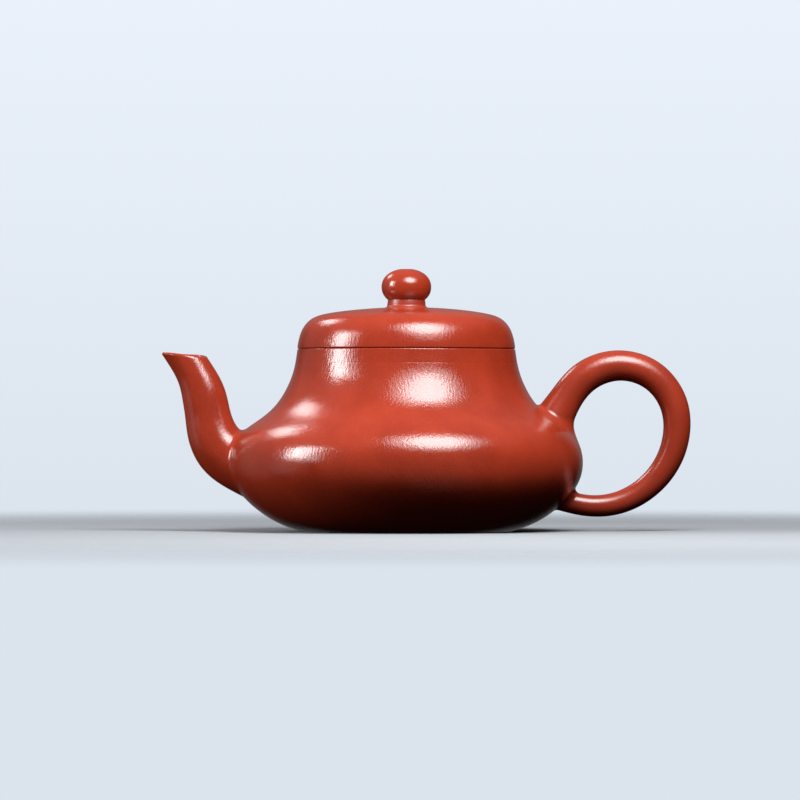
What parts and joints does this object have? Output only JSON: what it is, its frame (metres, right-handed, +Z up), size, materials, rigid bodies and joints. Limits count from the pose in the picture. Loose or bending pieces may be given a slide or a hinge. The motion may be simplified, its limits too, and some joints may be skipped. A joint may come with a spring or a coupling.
{
  "type": "teapot",
  "caption": "Small burnished red clay teapot: flattened round body, wide neck, flush lift-off lid with a ball knob, short curved spout and a round ear handle.",
  "frame": {"origin": "on the body's axis, in the plane of the foot ring that the pot stands on", "axes": "+Z up along the body's axis, +X towards the handle, -X towards the spout"},
  "size_m": [0.1411, 0.0938, 0.0697],
  "materials": {
    "burnished_clay": "satin",
    "raw_clay": "matte"
  },
  "bodies": {
    "pot": {"base_disc": "raw_clay", "belly_wall": "burnished_clay", "shoulder_slab": "burnished_clay", "neck_wall": "burnished_clay", "mouth_ring": "burnished_clay", "spout": "burnished_clay", "ball_strainer": "raw_clay", "handle": "burnished_clay"},
    "lid": {"lid_crown": "burnished_clay", "lid_plate": "burnished_clay", "lid_flange": "raw_clay", "knob_collar": "burnished_clay", "knob": "burnished_clay"}
  },
  "joints": [
    {"name": "lid_lift", "type": "slide", "parent": "pot", "child": "lid", "axis": [0, 0, 1], "range_m": [0, 0.04]}
  ]
}
